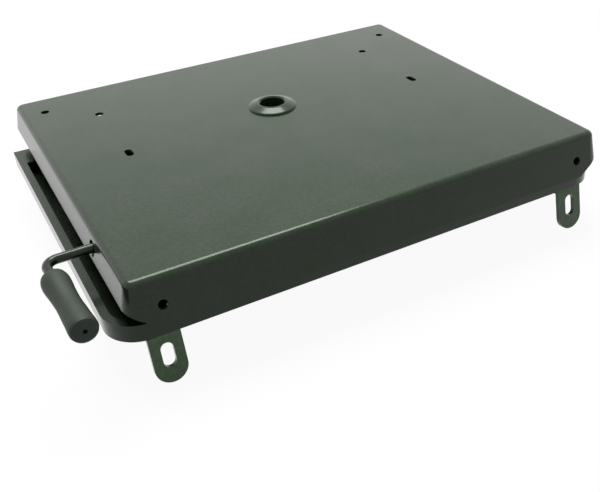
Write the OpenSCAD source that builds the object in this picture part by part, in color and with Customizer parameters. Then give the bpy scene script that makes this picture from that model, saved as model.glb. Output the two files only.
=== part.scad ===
/* [Overall] */
// Height from the underside of the tray to the top of the plate
total_h = 56; // [45:0.5:80]

/* [Top plate] */
// Width of the plate over its side bends, above the flare of the flanges
plate_w = 454; // [430:1:520]
// How far the plate and its front holes sit to the right of the swivel axis
plate_shift = 2; // [-3:0.5:3]
// Depth of the plate over its front and back bends
plate_d = 377; // [320:1:440]
// Distance from the swivel axis to the front of the front bend
pivot_front = 221.5; // [180:0.5:250]
// Sheet thickness of the plate
plate_t = 3; // [2:0.5:4]
// Outer radius of the bend along the four top edges
plate_bend = 6; // [4:0.5:10]
// Depth of the front flange, from the top of the plate
front_flange = 39; // [28:0.5:40]
// Depth of the side and back flanges
side_flange = 24; // [16:0.5:36]
// How far the flanges lean outward, in degrees
flange_flare = 12; // [0:1:14]
// Length of the sloping cut at each end of the front flange
flange_chamfer = 23; // [10:1:40]
// Outer radius of the four upright corners of the plate
plate_corner = 8; // [7:0.5:14]

/* [Seat holes] */
// Diameter of the round seat holes
seat_hole_d = 8.4; // [6:0.1:12]
// Spacing across the plate of the rear seat holes
rear_span = 404; // [380:1:420]
// Distance of the rear seat holes behind the swivel axis
rear_y = 116.6; // [100:0.2:130]
// Spacing across the plate of the middle seat holes
mid_span = 312; // [280:1:330]
// Distance of the middle seat holes behind the swivel axis
mid_y = 80.4; // [70:0.2:95]
// Spacing across the plate of the seat slots
slot_span = 313.6; // [280:0.2:330]
// Distance of the seat slots in front of the swivel axis
slot_y = 19.9; // [10:0.1:60]
// Width of the seat slots
slot_w = 7; // [5:0.5:10]
// Length of the seat slots, along the depth of the plate
slot_len = 14; // [10:0.5:30]
// Spacing of the two holes in the front flange
flange_span = 405; // [380:1:415]
// Distance of the front flange holes below the top of the plate
flange_drop = 23; // [18:0.5:30]
// Diameter of the front flange holes
flange_hole_d = 8; // [5:0.5:10]

/* [Tray] */
// Width of the tray over its walls
tray_w = 486; // [470:1:540]
// How far the tray and its ears sit to the right of the swivel axis
tray_shift = 2; // [-3:0.5:3]
// Distance from the swivel axis to the front face of the tray
tray_front = 218; // [200:0.5:230]
// Distance from the swivel axis to the back face of the tray
tray_back = 129.5; // [126:0.5:180]
// Height of the tray walls
tray_h = 15.5; // [12:0.5:15.5]
// Sheet thickness of the tray
tray_t = 2.5; // [2:0.5:4]
// Width of the lip turned inward at the top of the front and side walls
tray_lip = 7; // [4:0.5:12]
// Width of the lip turned inward at the top of the back wall
tray_back_lip = 32; // [7:0.5:34]
// Outer radius of the front corners
tray_corner = 30; // [12:1:60]
// Diameter of the opening in the floor under the pivot
floor_hole_d = 84; // [70:1:100]
// Diameter of the floor bolt holes
bolt_hole_d = 9; // [6:0.5:13]
// Spacing of the floor bolt holes across the tray
bolt_span_x = 350; // [300:1:420]
// Spacing of the floor bolt holes along the tray
bolt_span_y = 280; // [240:1:300]
// Distance from the swivel axis back to the rear floor bolt holes
bolt_rear_y = 102; // [80:1:110]

/* [Ears] */
// Spacing of the two ears, centre to centre
ear_span = 410; // [300:1:420]
// Width of an ear
ear_w = 27; // [20:1:40]
// Thickness of an ear
ear_t = 4; // [3:0.5:6]
// Length of an ear below the underside of the tray, along the ear
ear_len = 41.5; // [32:0.5:60]
// Length of the leg of an ear that is welded under the tray
ear_leg = 12; // [8:0.5:20]
// Outward lean of an ear, in degrees
ear_lean = 13; // [0:1:20]
// Width of the slot in an ear
ear_slot_w = 10.5; // [6:0.5:14]
// Length of the slot in an ear
ear_slot_len = 21; // [14:1:26]
// Distance from the tray's underside to the middle of the ear slot
ear_slot_drop = 17.5; // [15:0.5:24]

/* [Pivot] */
// Diameter of the cable bore through the pivot
pivot_bore = 25; // [16:0.5:30]
// Outer diameter of the pivot tube
pivot_od = 34; // [31:0.5:38]
// Outer diameter of the raised collar
collar_d = 48.5; // [44:0.5:60]
// Height of the raised collar above the plate
collar_h = 5; // [3:0.5:8]
// Width of the level rim round the mouth of the collar
collar_rim = 2; // [1:0.5:4]
// Running clearance between the pivot tube and the parts it turns in
pivot_gap = 0.1; // [0.05:0.01:0.1]
// Width across the flats of the pivot nut
nut_af = 50; // [44:1:56]
// Height of the pivot nut
nut_h = 9; // [6:0.5:10]
// Thickness of the steel washer above the nut
washer_t = 3; // [2:0.5:4]
// Thickness of the nylon washer under the index plate
slip_t = 2; // [1:0.5:3]
// Outer diameter of both washers
washer_d = 66; // [56:1:74]

/* [Bearing] */
// Thickness of the index plate
index_t = 4; // [3:0.5:5]
// Diameter of the index plate
index_d = 243; // [230:1:244]
// Number of lock notches round the index plate
notch_n = 4; // [1:1:4]
// Width of a lock notch
notch_w = 13; // [12:0.5:16]
// Depth of a lock notch
notch_depth = 8.5; // [8:0.5:12]
// Thickness of the nylon slide ring
ring_t = 3; // [2:0.5:4]
// Outer diameter of the slide ring
ring_od = 176; // [160:1:180]
// Inner diameter of the slide ring
ring_id = 96; // [80:1:110]
// Thickness of the upper bearing plate
bearing_t = 4; // [3:0.5:5]
// Diameter of the upper bearing plate
bearing_d = 182; // [176:1:190]
// Diameter over the rim of a pressed drum
drum_d = 196; // [190:1:210]
// Diameter over the crown of a pressed drum
drum_top_d = 150; // [144:1:156]
// Diameter of the opening in the crown of a pressed drum
drum_hole_d = 84; // [80:1:92]
// Sheet thickness of the drums
drum_t = 2.5; // [2:0.5:3]
// Number of rivets through each crown
rivet_n = 6; // [4:1:8]
// Diameter of the circle of rivets
rivet_pcd = 117; // [110:1:122]
// Diameter of a rivet shank
rivet_d = 6; // [5:0.5:8]

/* [Lock lever] */
// Diameter of the lever rod
rod_d = 8; // [6:0.5:10]
// Distance of the rod in front of the swivel axis
rod_y = 136; // [134:0.5:150]
// Distance of the rod below the top of the plate
rod_drop = 14.5; // [13:0.5:15]
// Distance from the swivel axis to the middle of the handle
handle_x = 264; // [258:0.5:290]
// Radius of the bend in the rod, on its centre line
rod_bend = 10; // [8:0.5:16]
// Lean of the handle towards the plate, in degrees
handle_toe = 3; // [0:0.5:4]
// Diameter of the hole for the rod in the left flange
rod_hole_d = 14; // [12:0.5:16]
// Running clearance between the rod and its bores
rod_gap = 0.1; // [0.05:0.01:0.1]
// Length of the grip
grip_len = 76; // [60:1:110]
// Distance from the rod axis to the near end of the grip
grip_start = 24; // [16:0.5:30]
// Diameter of the grip at its widest, near the rod
grip_d1 = 22; // [16:0.5:26]
// Diameter of the grip at its waist
grip_d2 = 19; // [14:0.5:24]
// Diameter of the grip at its free end
grip_d3 = 21.5; // [16:0.5:26]
// Diameter of the small hole in the end of the grip
grip_hole_d = 3.6; // [2:0.2:5]
// Width of the latch finger
finger_w = 10; // [8:0.5:10]
// Thickness of the latch finger
finger_t = 8; // [6:0.5:8]
// Length of the latch finger from the rod axis
finger_len = 25; // [23:0.5:25]
// Angle of the latch finger from straight down, handle level
finger_angle = 20; // [18:1:20]
// Distance from the swivel axis to the outer rod bracket
outer_bracket_x = 204; // [190:1:210]
// Sheet thickness of the rod brackets
bracket_t = 4; // [3:0.5:5]
// Width of the rod brackets along the plate
bracket_w = 24; // [22:1:34]
// Free space between the two cheeks of the finger bracket
cheek_gap = 18; // [14:0.5:24]

/* [Hidden] */
$fn = 96;
e = 0.01;
rod_overlap = 0.5;
handle_d = rod_d - 0.1;

plate_y0 = -pivot_front;
plate_y1 = plate_d - pivot_front;
plate_under = total_h - plate_t;
front_z = total_h - front_flange;
side_z = total_h - side_flange;
flare_room = total_h * tan(flange_flare) + 2;
flange_edge = plate_w / 2 + (side_flange - plate_bend) * tan(flange_flare);
rod_z = total_h - rod_drop;
stack_h = plate_under - tray_t;
drum_h = (stack_h - index_t - ring_t - bearing_t) / 2;
index_z = tray_t + drum_h;
ring_z = index_z + index_t;
bearing_z = ring_z + ring_t;
slip_z = index_z - slip_t;
washer_z = slip_z - washer_t;
nut_z = washer_z - nut_h;
tube_z = 0;
cheek_x = cheek_gap / 2;
clip_x = cheek_x + bracket_t + 0.5;
clip_t = 1.2;
rod_end_x = clip_x + clip_t + 3;
collar_l = 9;
spring_t = 1.6;
bracket_foot = 20;

// Flat outline with two rounded corners at the top, used for the folded plate
module hat(w, h, r) {
  f = (h - r) * tan(flange_flare);
  polygon([[-w / 2 - f, 0], [w / 2 + f, 0], [w / 2, h - r], [-w / 2, h - r]]);
  translate([-w / 2 + r, 0]) square([w - 2 * r, h]);
  for (s = [-1, 1]) translate([s * (w / 2 - r), h - r]) circle(r);
}

// Solid block with bends of radius r along its top edges, upright corners of radius c
// and sides that flare out below the bends
module bent_block(w, d, h, r, c) {
  f = (h - r) * tan(flange_flare);
  translate([0, d / 2 - c, 0]) rotate([90, 0, 0]) linear_extrude(d - 2 * c) hat(w, h, r);
  translate([-w / 2 + c, 0, 0]) rotate([90, 0, 90]) linear_extrude(w - 2 * c) hat(d, h, r);
  for (x = [-1, 1], y = [-1, 1]) {
    translate([x * (w / 2 - c), y * (d / 2 - c), 0]) rotate_extrude() {
      polygon([[0, 0], [c + f, 0], [c, h - r], [0, h - r]]);
      square([c - r, h]);
      intersection() {
        translate([c - r, h - r]) circle(r);
        square([c, h]);
      }
    }
  }
}

// A slot along the depth of the plate
module seat_slot(x, y) {
  for (s = [-1, 1]) {
    translate([x, y + s * (slot_len - slot_w) / 2, plate_under - 1])
      cylinder(h = plate_t + 2, d = slot_w);
  }
  translate([x - slot_w / 2, y - (slot_len - slot_w) / 2, plate_under - 1])
    cube([slot_w, slot_len - slot_w, plate_t + 2]);
}

module top_plate() {
  yc = (plate_y0 + plate_y1) / 2;
  color("darkseagreen") difference() {
    translate([plate_shift, yc, 0]) bent_block(plate_w, plate_d, total_h, plate_bend, plate_corner);
    translate([plate_shift, yc, -1]) bent_block(plate_w - 2 * plate_t, plate_d - 2 * plate_t,
      plate_under + 1, plate_bend - plate_t, plate_corner - plate_t);
    // below the front flange
    translate([-plate_w, plate_y0 - flare_room, -1])
      cube([2 * plate_w, flare_room + plate_t + 1, front_z + 1]);
    // below the side and back flanges
    translate([-plate_w, plate_y0 + plate_t + 0.5, -1])
      cube([2 * plate_w, plate_d + flare_room, side_z + 1]);
    // sloping ends of the front flange
    for (s = [-1, 1]) {
      translate([plate_shift, plate_y0 + plate_t + 1, 0]) rotate([90, 0, 0])
        linear_extrude(flare_room + plate_t + 1)
          polygon([[s * (flange_edge + flare_room), front_z - 1],
            [s * (flange_edge - flange_chamfer), front_z - 1],
            [s * (flange_edge - flange_chamfer), front_z],
            [s * flange_edge, side_z],
            [s * (flange_edge + flare_room), side_z]]);
    }
    // seat holes and slots
    for (s = [-1, 1]) {
      translate([s * rear_span / 2, rear_y, plate_under - 1])
        cylinder(h = plate_t + 2, d = seat_hole_d);
      translate([s * mid_span / 2, mid_y, plate_under - 1])
        cylinder(h = plate_t + 2, d = seat_hole_d);
      seat_slot(s * slot_span / 2, -slot_y);
      translate([plate_shift + s * flange_span / 2, plate_y0 - flare_room,
        total_h - flange_drop]) rotate([-90, 0, 0])
          cylinder(h = flare_room + plate_t + 1, d = flange_hole_d);
    }
    // pivot hole and the hole for the rod
    translate([0, 0, plate_under - 1]) cylinder(h = plate_t + 2, d = pivot_od);
    translate([plate_shift - plate_w / 2 - flare_room, -rod_y, rod_z]) rotate([0, 90, 0])
      cylinder(h = flare_room + plate_t + 1, d = rod_hole_d);
  }
}

// Outline of the tray, moved inward by m
module tray_plan(m) {
  x = tray_w / 2 - m;
  yf = -tray_front + m;
  yb = tray_back - m;
  r = tray_corner - m;
  translate([tray_shift, 0]) {
    translate([-x, yf + r]) square([2 * x, yb - yf - r]);
    translate([-x + r, yf]) square([2 * (x - r), r + 1]);
    for (s = [-1, 1]) translate([s * (x - r), yf + r]) circle(r);
  }
}

module base_tray() {
  color("darkseagreen") difference() {
    linear_extrude(tray_h) tray_plan(0);
    translate([0, 0, tray_t]) linear_extrude(tray_h - 2 * tray_t) tray_plan(tray_t);
    translate([0, 0, tray_h - tray_t - 1]) linear_extrude(tray_t + 2) intersection() {
      tray_plan(tray_lip);
      translate([-tray_w, -tray_front])
        square([2 * tray_w, tray_front + tray_back - tray_back_lip]);
    }
    translate([0, 0, -1]) cylinder(h = tray_t + 2, d = floor_hole_d);
    for (s = [-1, 1]) {
      for (y = [bolt_rear_y, bolt_rear_y - bolt_span_y]) {
        translate([s * bolt_span_x / 2, y, -1]) cylinder(h = tray_t + 2, d = bolt_hole_d);
      }
    }
  }
}

// Side view of an ear: a leg flat under the tray and a leaning blade. X is depth, Y is height
module ear_side() {
  a = ear_lean;
  polygon([[0, 0], [-ear_len * sin(a), -ear_len * cos(a)],
    [-ear_len * sin(a) + ear_t * cos(a), -ear_len * cos(a) - ear_t * sin(a)],
    [(ear_t - ear_t * sin(a)) / cos(a), -ear_t], [ear_leg, -ear_t], [ear_leg, 0]]);
}

// Front view of an ear with its round end and its slot. Y is 0 at the tray's underside
module ear_front() {
  difference() {
    union() {
      translate([-ear_w / 2, -ear_len + ear_w / 2])
        square([ear_w, ear_len - ear_w / 2 + ear_leg]);
      translate([0, -ear_len + ear_w / 2]) circle(d = ear_w);
    }
    for (s = [-1, 1]) {
      translate([0, -ear_slot_drop + s * (ear_slot_len - ear_slot_w) / 2]) circle(d = ear_slot_w);
    }
    translate([-ear_slot_w / 2, -ear_slot_drop - (ear_slot_len - ear_slot_w) / 2])
      square([ear_slot_w, ear_slot_len - ear_slot_w]);
  }
}

module ear() {
  intersection() {
    translate([-ear_w, 0, 0]) rotate([90, 0, 90]) linear_extrude(2 * ear_w) ear_side();
    rotate([90 - ear_lean, 0, 0]) translate([0, 0, -2 * ear_leg])
      linear_extrude(4 * ear_leg) ear_front();
  }
}

module ear_at(s) {
  color("slategray") translate([tray_shift + s * ear_span / 2, -tray_front, 0]) ear();
}

module ear_left() {
  ear_at(-1);
}

module ear_right() {
  ear_at(1);
}

// Pressed drum standing on its rim, crown up
module drum() {
  r0 = drum_d / 2;
  r1 = drum_top_d / 2;
  rh = drum_hole_d / 2;
  foot = 12;
  difference() {
    rotate_extrude() polygon([[rh, drum_h - drum_t], [r1 - drum_t, drum_h - drum_t],
      [r0 - foot - drum_t, drum_t], [r0 - foot - drum_t, 0], [r0, 0], [r0, drum_t],
      [r0 - foot, drum_t], [r1, drum_h], [rh, drum_h]]);
    for (i = [0:rivet_n - 1]) {
      rotate([0, 0, (i + 0.5) * 360 / rivet_n]) translate([rivet_pcd / 2, 0, drum_h - drum_t - 1])
        cylinder(h = drum_t + 2, d = rivet_d);
    }
  }
}

module base_drum() {
  color("gray") translate([0, 0, tray_t]) drum();
}

module top_drum() {
  color("gray") translate([0, 0, plate_under]) mirror([0, 0, 1]) drum();
}

// Round plate with a hole and a ring of countersunk rivet holes, countersinks at the top
module riveted_disc(d, t, hole) {
  difference() {
    cylinder(h = t, d = d);
    translate([0, 0, -1]) cylinder(h = t + 2, d = hole);
    for (i = [0:rivet_n - 1]) {
      rotate([0, 0, (i + 0.5) * 360 / rivet_n]) translate([rivet_pcd / 2, 0, 0]) {
        translate([0, 0, -1]) cylinder(h = t + 2, d = rivet_d);
        translate([0, 0, t - rivet_d / 3]) cylinder(h = rivet_d / 3, d1 = rivet_d,
          d2 = rivet_d * 5 / 3);
      }
    }
  }
}

module index_plate() {
  color("silver") translate([0, 0, index_z]) difference() {
    riveted_disc(index_d, index_t, pivot_od + 2 * pivot_gap);
    for (i = [0:notch_n - 1]) {
      rotate([0, 0, i * 360 / notch_n]) translate([-notch_w / 2, -index_d / 2 - 1, -1])
        cube([notch_w, notch_depth + 1, index_t + 2]);
    }
  }
}

module bearing_plate() {
  color("silver") translate([0, 0, bearing_z + bearing_t]) mirror([0, 0, 1])
    riveted_disc(bearing_d, bearing_t, pivot_od);
}

// Ring of rivets: flush at the top of a plate of thickness t, round heads below the crown
module rivets(t) {
  for (i = [0:rivet_n - 1]) {
    rotate([0, 0, (i + 0.5) * 360 / rivet_n]) translate([rivet_pcd / 2, 0, 0]) {
      translate([0, 0, -t - drum_t - 1]) cylinder(h = t + drum_t + 1, d = rivet_d);
      translate([0, 0, -rivet_d / 3]) cylinder(h = rivet_d / 3, d1 = rivet_d,
        d2 = rivet_d * 5 / 3);
      translate([0, 0, -t - drum_t - 1.4]) cylinder(h = 1.4, d = rivet_d * 1.7);
      translate([0, 0, -t - drum_t - 2.4]) cylinder(h = 1, d1 = rivet_d, d2 = rivet_d * 1.7);
    }
  }
}

module index_rivets() {
  color("lightgray") translate([0, 0, ring_z]) rivets(index_t);
}

module bearing_rivets() {
  color("lightgray") translate([0, 0, bearing_z]) mirror([0, 0, 1]) rivets(bearing_t);
}

module slide_ring() {
  color("ivory") translate([0, 0, ring_z]) difference() {
    cylinder(h = ring_t, d = ring_od);
    translate([0, 0, -1]) cylinder(h = ring_t + 2, d = ring_id);
  }
}

module pivot_tube() {
  color("darkseagreen") difference() {
    union() {
      translate([0, 0, tube_z]) cylinder(h = total_h - tube_z + e, d = pivot_od);
      translate([0, 0, total_h]) rotate_extrude() {
        r = collar_d / 2;
        rim = pivot_bore / 2 + collar_rim;
        polygon([[0, 0], [r, 0], [r, collar_h * 0.16], [r - 0.35, collar_h * 0.3],
          [r - 1.1, collar_h * 0.42], [r - 2.4, collar_h * 0.52], [rim + 1.6, collar_h * 0.94],
          [rim, collar_h], [0, collar_h]]);
      }
    }
    translate([0, 0, tube_z - 1]) cylinder(h = total_h, d = pivot_bore);
    translate([0, 0, total_h - 10]) cylinder(h = 20, d = pivot_bore);
    // softened mouth of the bore
    translate([0, 0, total_h + collar_h - 1.2])
      cylinder(h = 1.2 + e, d1 = pivot_bore, d2 = pivot_bore + 2.4);
  }
}

module flat_washer(t, d, hole) {
  difference() {
    cylinder(h = t, d = d);
    translate([0, 0, -1]) cylinder(h = t + 2, d = hole);
  }
}

module slip_washer() {
  color("ivory") translate([0, 0, slip_z]) flat_washer(slip_t, washer_d, pivot_od);
}

module pivot_washer() {
  color("silver") translate([0, 0, washer_z]) flat_washer(washer_t, washer_d, pivot_od);
}

module pivot_nut() {
  color("silver") translate([0, 0, nut_z]) difference() {
    cylinder(h = nut_h, d = nut_af / cos(30), $fn = 6);
    translate([0, 0, -1]) cylinder(h = nut_h + 2, d = pivot_od);
  }
}

// Places its children at the end of the bend, with +Z along the handle
module along_handle() {
  translate([-handle_x + rod_bend, -rod_y - rod_bend, rod_z]) rotate([0, 0, handle_toe])
    translate([-rod_bend, 0, 0]) rotate([90, 0, 0]) children();
}

module lever_rod() {
  color("dimgray") {
    // straight part through the brackets
    translate([-handle_x + rod_bend - e, -rod_y, rod_z]) rotate([0, 90, 0])
      cylinder(h = handle_x - rod_bend + rod_end_x, d = rod_d);
    // bend
    translate([-handle_x + rod_bend, -rod_y - rod_bend, rod_z]) rotate([0, 0, 90])
      rotate_extrude(angle = 90 + handle_toe) translate([rod_bend, 0]) circle(d = rod_d);
    // straight part inside the grip
    along_handle() translate([0, 0, -rod_overlap])
      cylinder(h = rod_overlap + grip_start - rod_bend + grip_len - 12, d = handle_d);
  }
}

// Waisted grip, drawn as a turned outline along the handle
module lever_grip() {
  r1 = grip_d1 / 2;
  r2 = grip_d2 / 2;
  r3 = grip_d3 / 2;
  bore = handle_d / 2;
  deep = grip_len - 12;
  color("dimgray") along_handle() translate([0, 0, grip_start - rod_bend]) rotate_extrude()
    polygon([[bore, 0], [r1 - 5, 0], [r1 - 2.6, 1], [r1 - 0.9, 3.2], [r1 - 0.2, 6.5],
      [r1, 10], [r1 - 0.2, 15], [r1 - 0.8, 22], [r2 + 0.25, 30], [r2, 38], [r2 + 0.15, 46],
      [r2 + 0.6, 55], [r3 - 0.4, 63], [r3, 69], [r3, grip_len - 3],
      [r3 - 0.7, grip_len - 1], [r3 - 2.4, grip_len], [grip_hole_d / 2, grip_len],
      [grip_hole_d / 2, deep], [bore, deep]]);
}

module latch_finger() {
  color("dimgray") translate([-finger_w / 2, -rod_y, rod_z]) rotate([90, 0, 90])
    linear_extrude(finger_w) difference() {
      union() {
        circle(r = rod_d);
        rotate(finger_angle) translate([-finger_t / 2, -finger_len])
          square([finger_t, finger_len]);
      }
      circle(d = rod_d);
    }
}

// Upright bracket plate with a round lower end and a bore for the rod, starting at x
module cheek(x) {
  difference() {
    union() {
      translate([x, -rod_y - bracket_w / 2, rod_z])
        cube([bracket_t, bracket_w, plate_under - rod_z]);
      translate([x, -rod_y, rod_z]) rotate([0, 90, 0])
        cylinder(h = bracket_t, d = bracket_w * 0.8);
      translate([x, -rod_y - bracket_w * 0.4, rod_z])
        cube([bracket_t, bracket_w * 0.8, 1]);
    }
    translate([x - 1, -rod_y, rod_z]) rotate([0, 90, 0])
      cylinder(h = bracket_t + 2, d = rod_d + 2 * rod_gap);
  }
}

module rod_bracket() {
  color("gray") {
    cheek(-outer_bracket_x);
    translate([-outer_bracket_x + bracket_t - bracket_foot, -rod_y - bracket_w / 2,
      plate_under - bracket_t]) cube([bracket_foot, bracket_w, bracket_t]);
  }
}

module finger_bracket() {
  color("gray") {
    cheek(-cheek_x - bracket_t);
    cheek(cheek_x);
    translate([-cheek_x - bracket_t, -rod_y - bracket_w / 2, plate_under - bracket_t + 1])
      cube([cheek_gap + 2 * bracket_t, bracket_w, bracket_t - 1]);
  }
}

module spring_washer() {
  color("silver") translate([-outer_bracket_x + bracket_t, -rod_y, rod_z]) rotate([0, 90, 0])
    flat_washer(spring_t, rod_d * 2, rod_d);
}

module rod_collar() {
  color("silver") translate([-outer_bracket_x + bracket_t + spring_t, -rod_y, rod_z])
    rotate([0, 90, 0]) flat_washer(collar_l, rod_d * 2, rod_d);
}

module rod_clip() {
  color("silver") translate([clip_x, -rod_y, rod_z]) rotate([0, 90, 0]) difference() {
    flat_washer(clip_t, rod_d + 7, rod_d);
    translate([rod_d * 0.2, -rod_d * 0.35, -1]) cube([rod_d, rod_d * 0.7, clip_t + 2]);
  }
}

top_plate();
base_tray();
ear_left();
ear_right();
base_drum();
index_plate();
index_rivets();
slide_ring();
bearing_plate();
top_drum();
bearing_rivets();
pivot_tube();
slip_washer();
pivot_washer();
pivot_nut();
lever_rod();
lever_grip();
latch_finger();
rod_bracket();
finger_bracket();
rod_collar();
spring_washer();
rod_clip();
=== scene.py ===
import math

import bpy
from mathutils import Matrix, Vector


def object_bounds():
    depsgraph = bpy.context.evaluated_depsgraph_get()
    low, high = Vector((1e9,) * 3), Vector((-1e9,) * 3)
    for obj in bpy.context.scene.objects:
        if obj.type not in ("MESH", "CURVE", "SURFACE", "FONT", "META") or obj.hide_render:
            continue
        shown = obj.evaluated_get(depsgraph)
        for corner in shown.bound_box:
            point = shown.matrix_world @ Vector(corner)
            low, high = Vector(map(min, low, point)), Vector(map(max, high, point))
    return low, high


MM = 0.001

# Camera, fitted to the edges and holes of the plate, in the part's frame
CAMERA_MM = (-310.2, -696.4, 392.9)
CAMERA_YAW = math.radians(29.0)
CAMERA_PITCH = math.radians(34.09)
CAMERA_ROLL = math.radians(-2.01)
FOCAL_PX = 802.1
CENTRE_PX = (342.47, 247.39)
IMAGE_PX = (600, 492)
SENSOR_MM = 36.0

# Colours
WHITE = (1.0, 1.0, 1.0, 1.0)
PAINT_GREEN = (0.016, 0.032, 0.014)
PAINT_GREY = (0.028, 0.040, 0.026)
PAINT_GLINT = (0.82, 1.0, 0.78, 1.0)
RUBBER = (0.018, 0.027, 0.018)
DARK_STEEL = (0.20, 0.205, 0.2)
PLATED_STEEL = (0.52, 0.52, 0.50)
NYLON_DEEP = (0.52, 0.49, 0.40)
NYLON_PALE = (0.68, 0.66, 0.58)

# Studio, in metres and watts
FLOOR_SIZE = 30.0
FLOOR_DROP = 0.0003
FLOOR_GREY = (0.3, 0.3, 0.3, 1.0)
SHADOW_GREY = (0.9, 0.9, 0.9, 1.0)
FLOOR_GLOW = 0.94
WORLD_LIGHT = 0.25
LAMP_PLACE = (0.05, 0.42, 1.45)
LAMP_TARGET = (0.0, -0.05, 0.0)
LAMP_SIZE = (1.2, 0.8)
LAMP_WATTS = 36.0

# Angles below which an edge counts as flat, and from which it is rounded
FLAT_ANGLE = math.radians(0.5)
EDGE_ANGLE = math.radians(40)
EDGE_SEGMENTS = 2


def vector_mm(x, y, z):
    return Vector((x * MM, y * MM, z * MM))


def node_tree(material):
    material.use_nodes = True
    tree = material.node_tree
    tree.nodes.clear()
    return tree


def add(tree, kind, **inputs):
    """Adds a shader node and sets its inputs by name."""
    node = tree.nodes.new(kind)
    for name, value in inputs.items():
        node.inputs[name.replace("_", " ")].default_value = value
    return node


def noise(tree, coords, scale, detail=3.0, rough=0.55):
    node = add(tree, "ShaderNodeTexNoise", Scale=scale, Detail=detail, Roughness=rough)
    tree.links.new(coords, node.inputs["Vector"])
    return node.outputs["Fac"]


def ramp(tree, fac, stops):
    """A colour ramp whose two stops are (place, colour)."""
    node = tree.nodes.new("ShaderNodeValToRGB")
    tree.links.new(fac, node.inputs["Fac"])
    for element, (place, colour) in zip(node.color_ramp.elements, stops):
        element.position = place
        element.color = (*colour, 1.0)
    return node.outputs["Color"]


def remap(tree, fac, low, high):
    node = add(tree, "ShaderNodeMapRange", To_Min=low, To_Max=high)
    tree.links.new(fac, node.inputs["Value"])
    return node.outputs["Result"]


def bump(tree, height, strength, distance, normal=None):
    node = add(tree, "ShaderNodeBump", Strength=strength, Distance=distance)
    tree.links.new(height, node.inputs["Height"])
    if normal is not None:
        tree.links.new(normal, node.inputs["Normal"])
    return node.outputs["Normal"]


def tint(colour, gain):
    return tuple(min(1.0, channel * gain) for channel in colour)


def new_material(name):
    material = bpy.data.materials.new(name)
    tree = node_tree(material)
    out = tree.nodes.new("ShaderNodeOutputMaterial")
    shader = tree.nodes.new("ShaderNodeBsdfPrincipled")
    tree.links.new(shader.outputs["BSDF"], out.inputs["Surface"])
    coords = tree.nodes.new("ShaderNodeTexCoord").outputs["Object"]
    return material, tree, shader, coords


def paint_material(name, gain):
    """Grey-green satin paint with a thin sheen: clouding, specks and fine orange peel."""
    material, tree, shader, coords = new_material(name)
    clouds = noise(tree, coords, 22.0, 6.0, 0.65)
    specks = noise(tree, coords, 300.0, 3.0)
    base = ramp(tree, clouds, [(0.32, tint(PAINT_GREEN, gain)), (0.68, tint(PAINT_GREY, gain))])
    speck = ramp(tree, specks, [(0.35, (0.82, 0.82, 0.82)), (0.65, (1.16, 1.16, 1.16))])
    mix = tree.nodes.new("ShaderNodeMix")
    mix.data_type = "RGBA"
    mix.blend_type = "MULTIPLY"
    mix.inputs["Factor"].default_value = 1.0
    tree.links.new(base, mix.inputs[6])
    tree.links.new(speck, mix.inputs[7])
    tree.links.new(mix.outputs[2], shader.inputs["Base Color"])
    rough = remap(tree, noise(tree, coords, 60.0, 3.0), 0.20, 0.28)
    tree.links.new(rough, shader.inputs["Roughness"])
    peel = bump(tree, noise(tree, coords, 260.0, 2.0), 0.12, 0.0004)
    tree.links.new(bump(tree, noise(tree, coords, 900.0, 2.0), 0.10, 0.0002, peel),
                   shader.inputs["Normal"])
    shader.inputs["Specular IOR Level"].default_value = 0.2
    shader.inputs["Specular Tint"].default_value = PAINT_GLINT
    shader.inputs["Coat Weight"].default_value = 0.8
    shader.inputs["Coat Roughness"].default_value = 0.16
    shader.inputs["Coat IOR"].default_value = 1.22
    return material


def rubber_material():
    """Moulded rubber of the grip: matt, with a fine grain."""
    material, tree, shader, coords = new_material("grip_rubber")
    clouds = noise(tree, coords, 70.0, 3.0)
    tree.links.new(ramp(tree, clouds, [(0.3, tint(RUBBER, 0.9)), (0.7, tint(RUBBER, 1.15))]),
                   shader.inputs["Base Color"])
    tree.links.new(remap(tree, noise(tree, coords, 300.0), 0.48, 0.62), shader.inputs["Roughness"])
    tree.links.new(bump(tree, noise(tree, coords, 1400.0, 2.0), 0.25, 0.0002),
                   shader.inputs["Normal"])
    shader.inputs["Specular IOR Level"].default_value = 0.32
    return material


def steel_material(name, colour, low, high):
    """Bare or plated steel with faint clouding and fine scratches."""
    material, tree, shader, coords = new_material(name)
    clouds = noise(tree, coords, 35.0, 4.0)
    tree.links.new(ramp(tree, clouds, [(0.3, tint(colour, 0.82)), (0.7, tint(colour, 1.1))]),
                   shader.inputs["Base Color"])
    shader.inputs["Metallic"].default_value = 1.0
    tree.links.new(remap(tree, noise(tree, coords, 180.0), low, high), shader.inputs["Roughness"])
    tree.links.new(bump(tree, noise(tree, coords, 700.0, 2.0), 0.12, 0.0002),
                   shader.inputs["Normal"])
    return material


def nylon_material():
    """Milky nylon with a trace of grease."""
    material, tree, shader, coords = new_material("nylon")
    clouds = noise(tree, coords, 40.0, 4.0)
    tree.links.new(ramp(tree, clouds, [(0.3, NYLON_DEEP), (0.7, NYLON_PALE)]),
                   shader.inputs["Base Color"])
    tree.links.new(remap(tree, noise(tree, coords, 200.0), 0.35, 0.5), shader.inputs["Roughness"])
    tree.links.new(bump(tree, noise(tree, coords, 800.0, 2.0), 0.1, 0.0002),
                   shader.inputs["Normal"])
    return material


def soften_edges(node, width_mm):
    """Rounds the sharp edges of a node's shown shape."""
    flat = node.modifiers.new("flat", "DECIMATE")
    flat.decimate_type = "DISSOLVE"
    flat.angle_limit = FLAT_ANGLE
    round_off = node.modifiers.new("round", "BEVEL")
    round_off.width = width_mm * MM
    round_off.segments = EDGE_SEGMENTS
    round_off.limit_method = "ANGLE"
    round_off.angle_limit = EDGE_ANGLE
    round_off.harden_normals = True


def dress(node, material):
    for slot in node.material_slots:
        slot.material = material
    if not node.material_slots:
        node.data.materials.append(material)


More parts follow.
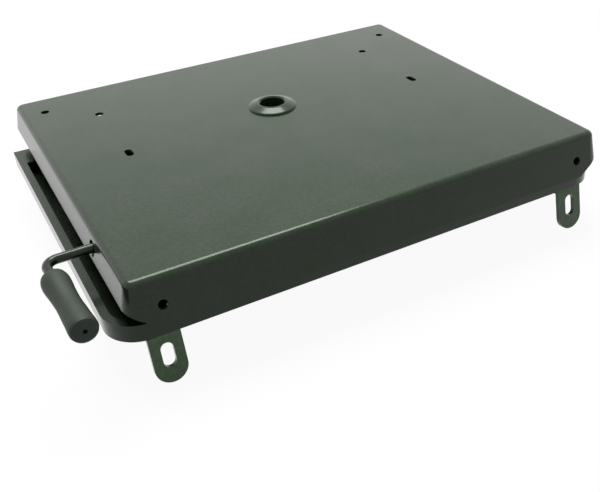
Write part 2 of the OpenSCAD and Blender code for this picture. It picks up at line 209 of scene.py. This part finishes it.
def add_camera():
    """Camera with the photo's view of the part."""
    sin, cos = math.sin, math.cos
    yaw, pitch, roll = CAMERA_YAW, CAMERA_PITCH, CAMERA_ROLL
    forward = Vector((sin(yaw) * cos(pitch), cos(yaw) * cos(pitch), -sin(pitch)))
    right = Vector((cos(yaw), -sin(yaw), 0.0))
    up = right.cross(forward)
    side = right * cos(roll) + up * sin(roll)
    top = up * cos(roll) - right * sin(roll)
    data = bpy.data.cameras.new("camera")
    data.sensor_fit = "HORIZONTAL"
    data.sensor_width = SENSOR_MM
    data.lens = FOCAL_PX * SENSOR_MM / IMAGE_PX[0]
    data.shift_x = (IMAGE_PX[0] / 2 - CENTRE_PX[0]) / IMAGE_PX[0]
    data.shift_y = (CENTRE_PX[1] - IMAGE_PX[1] / 2) / IMAGE_PX[0]
    data.clip_start = 0.01
    camera = bpy.data.objects.new("camera", data)
    axes = Matrix((side, top, -forward)).transposed().to_4x4()
    camera.matrix_world = Matrix.Translation(vector_mm(*CAMERA_MM)) @ axes
    bpy.context.collection.objects.link(camera)
    bpy.context.scene.camera = camera


def add_lamp():
    """One wide lamp overhead, a little behind the part."""
    data = bpy.data.lights.new("overhead", "AREA")
    data.shape = "RECTANGLE"
    data.size, data.size_y = LAMP_SIZE
    data.energy = LAMP_WATTS
    lamp = bpy.data.objects.new("overhead", data)
    lamp.location = LAMP_PLACE
    aim = (Vector(LAMP_TARGET) - Vector(LAMP_PLACE)).to_track_quat("-Z", "Y")
    lamp.rotation_euler = aim.to_euler()
    bpy.context.collection.objects.link(lamp)


def seen_directly(tree):
    """1 for rays that show the background: from the camera, in a gloss or through glass."""
    path = tree.nodes.new("ShaderNodeLightPath")
    total = path.outputs["Is Camera Ray"]
    for name in ("Is Glossy Ray", "Is Transmission Ray"):
        either = tree.nodes.new("ShaderNodeMath")
        either.operation = "MAXIMUM"
        tree.links.new(total, either.inputs[0])
        tree.links.new(path.outputs[name], either.inputs[1])
        total = either.outputs[0]
    return total


def add_floor(height):
    """Pale floor that shows white to the camera and keeps a soft shadow of the object."""
    bpy.ops.mesh.primitive_plane_add(size=FLOOR_SIZE, location=(0.0, 0.0, height))
    floor = bpy.context.object
    floor.name = "floor"
    material = bpy.data.materials.new("floor")
    tree = node_tree(material)
    out = tree.nodes.new("ShaderNodeOutputMaterial")
    lighting = add(tree, "ShaderNodeBsdfDiffuse", Color=FLOOR_GREY)
    shadow = add(tree, "ShaderNodeBsdfDiffuse", Color=SHADOW_GREY)
    glow = add(tree, "ShaderNodeEmission", Color=WHITE, Strength=1.0)
    shown = add(tree, "ShaderNodeMixShader", Fac=FLOOR_GLOW)
    tree.links.new(shadow.outputs[0], shown.inputs[1])
    tree.links.new(glow.outputs[0], shown.inputs[2])
    mix = tree.nodes.new("ShaderNodeMixShader")
    tree.links.new(seen_directly(tree), mix.inputs[0])
    tree.links.new(lighting.outputs[0], mix.inputs[1])
    tree.links.new(shown.outputs[0], mix.inputs[2])
    tree.links.new(mix.outputs[0], out.inputs["Surface"])
    floor.data.materials.append(material)


def add_world():
    """White to the camera and in glosses, and a plain soft light on everything else."""
    world = bpy.data.worlds.new("studio")
    bpy.context.scene.world = world
    world.use_nodes = True
    tree = world.node_tree
    tree.nodes.clear()
    out = tree.nodes.new("ShaderNodeOutputWorld")
    shown = add(tree, "ShaderNodeBackground", Color=WHITE, Strength=1.0)
    lit = add(tree, "ShaderNodeBackground", Color=WHITE, Strength=WORLD_LIGHT)
    mix = tree.nodes.new("ShaderNodeMixShader")
    tree.links.new(seen_directly(tree), mix.inputs[0])
    tree.links.new(lit.outputs[0], mix.inputs[1])
    tree.links.new(shown.outputs[0], mix.inputs[2])
    tree.links.new(mix.outputs[0], out.inputs["Surface"])


# Nodes of each material, and how far their sharp edges are rounded in millimetres
PAINTED = {"top_plate": 0.7, "pivot_tube": 0.4}
TRAY = {"base_tray": 0.9}
EARS = {"ear_left": 0.6, "ear_right": 0.6}
ROD = {"lever_rod": 0.0}
BARE = {"base_drum": 0.5, "index_plate": 0.4, "bearing_plate": 0.4, "top_drum": 0.5,
        "rod_bracket": 0.4, "finger_bracket": 0.4}
PLATED = {"index_rivets": 0.0, "bearing_rivets": 0.0, "pivot_washer": 0.3, "pivot_nut": 0.5,
          "latch_finger": 0.4, "rod_collar": 0.3, "spring_washer": 0.2, "rod_clip": 0.2}
NYLON = {"slide_ring": 0.3, "slip_washer": 0.3}
RUBBERY = {"lever_grip": 0.0}


def dress_all(nodes):
    groups = [
        (paint_material("green_paint", 1.0), PAINTED),
        # The tray takes the paint at half brightness: painted shade for the shadow it lies in
        # under the top plate.
        (paint_material("tray_paint_painted_shade", 0.5), TRAY),
        # The ears take the paint five times brighter: painted light that makes them look more
        # strongly lit than the lamps light them.
        (paint_material("ear_paint_painted_light", 5.0), EARS),
        (paint_material("rod_paint", 0.45), ROD),
        (steel_material("dark_steel", DARK_STEEL, 0.38, 0.55), BARE),
        (steel_material("plated_steel", PLATED_STEEL, 0.25, 0.4), PLATED),
        (nylon_material(), NYLON),
        (rubber_material(), RUBBERY),
    ]
    for material, members in groups:
        for name, width in members.items():
            dress(nodes[name], material)
            if width > 0:
                soften_edges(nodes[name], width)


def corners(pair):
    return [[float(v) for v in corner] for corner in pair]


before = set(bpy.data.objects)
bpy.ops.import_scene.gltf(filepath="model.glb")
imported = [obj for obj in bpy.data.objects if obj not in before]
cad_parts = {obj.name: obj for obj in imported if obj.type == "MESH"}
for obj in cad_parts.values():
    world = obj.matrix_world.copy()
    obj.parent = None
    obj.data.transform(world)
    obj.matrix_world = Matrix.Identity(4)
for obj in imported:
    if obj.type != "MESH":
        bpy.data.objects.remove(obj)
cad_box = corners(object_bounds())
dress_all(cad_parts)
add_floor(cad_box[0][2] - FLOOR_DROP)
add_world()
add_lamp()
add_camera()
bpy.context.scene.view_settings.view_transform = "Standard"
